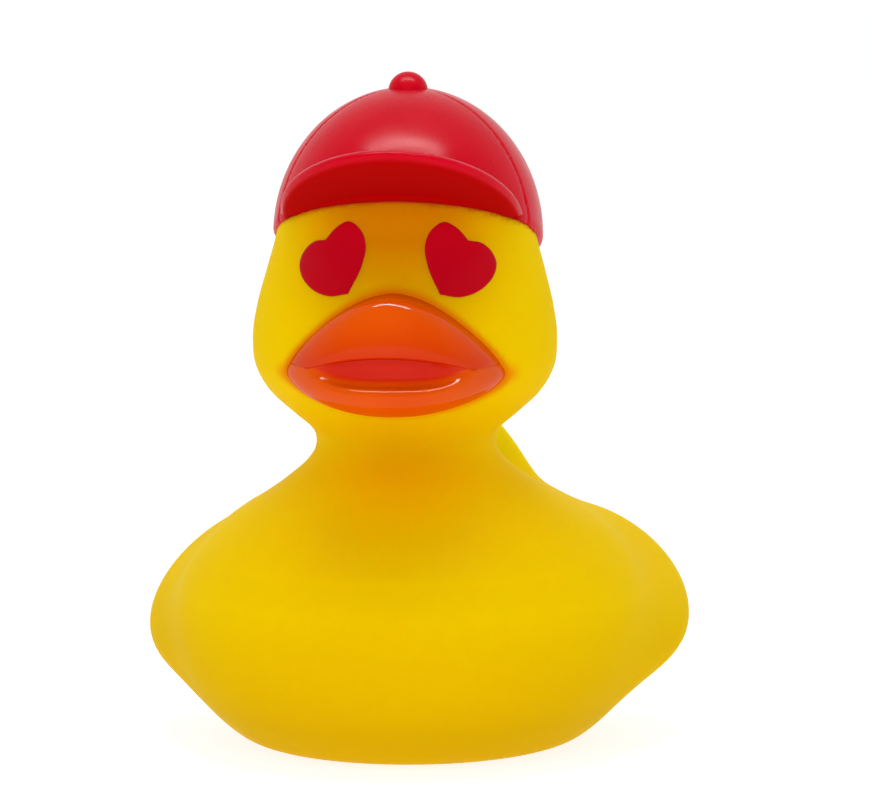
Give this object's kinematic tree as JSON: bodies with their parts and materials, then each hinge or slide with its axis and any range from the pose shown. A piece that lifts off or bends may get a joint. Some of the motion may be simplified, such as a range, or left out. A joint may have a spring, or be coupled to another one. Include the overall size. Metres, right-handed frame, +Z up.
{
  "type": "floating chlorine dispenser",
  "caption": "Duck-shaped floating chlorine dispenser: hollow hull with a sealed well, a telescoping slotted tablet canister, a screw-in bottom lid and a flow dial.",
  "frame": {"origin": "middle of the flat base, on the canister's axis", "axes": "+Z up, -Y the way the duck looks, +X to the duck's left"},
  "size_m": [0.1586, 0.1785, 0.1985],
  "materials": {
    "yellow_vinyl": "soft satin vinyl",
    "red_paint": "glossy red paint on vinyl",
    "orange_paint": "glossy orange paint on vinyl",
    "heart_print": "red printed ink",
    "white_plastic": "moulded polypropylene",
    "seal_rubber": "matt rubber",
    "stainless": "brushed stainless steel",
    "ballast_iron": "coated cast iron",
    "blue_plastic": "moulded polypropylene",
    "chlorine": "pressed chalky tablet"
  },
  "bodies": {
    "hull": {"duck_hull": "yellow_vinyl", "cap_crown": "red_paint", "cap_brim": "red_paint", "cap_button": "red_paint", "upper_bill": "orange_paint", "lower_bill": "orange_paint", "right_eye": "heart_print", "left_eye": "heart_print", "well_tube": "white_plastic", "well_cap": "white_plastic", "wiper_seal": "seal_rubber", "hull_gasket": "seal_rubber", "clamp_ring": "stainless", "ballast_ring": "ballast_iron", "flange_screws": "stainless", "ballast_screws": "stainless", "drain_plug": "white_plastic", "drain_seal": "seal_rubber", "tether_eyelet": "stainless"},
    "canister": {"canister": "blue_plastic", "canister_cap": "blue_plastic"},
    "tablets": {"tablet_1": "chlorine", "tablet_2": "chlorine", "tablet_3": "chlorine", "tablet_4": "chlorine", "tablet_5": "chlorine", "tablet_6": "chlorine"},
    "lid": {"bottom_lid": "blue_plastic", "dial_screw": "stainless", "dial_washer": "stainless"},
    "flow_dial": {"flow_dial": "white_plastic"}
  },
  "joints": [
    {"name": "canister_slide", "type": "slide", "parent": "hull", "child": "canister", "axis": [0, 0, -1], "range_m": [0, 0.0545]},
    {"name": "lid_drop", "type": "slide", "parent": "canister", "child": "tablets", "axis": [0, 0, -1], "range_m": [0, 0.012]},
    {"name": "lid_turn", "type": "hinge", "parent": "tablets", "child": "lid", "pos_m": [0, 0, 0.003], "axis": [0, 0, -1], "range_deg": [0, 360]},
    {"name": "flow_dial_turn", "type": "hinge", "parent": "lid", "child": "flow_dial", "pos_m": [0, 0, 0.003], "axis": [0, 0, -1], "range_deg": [0, 36]}
  ],
  "couplings": [
    {"joint": "lid_drop", "follows": "lid_turn", "m_per_rad": 0.0019099}
  ]
}
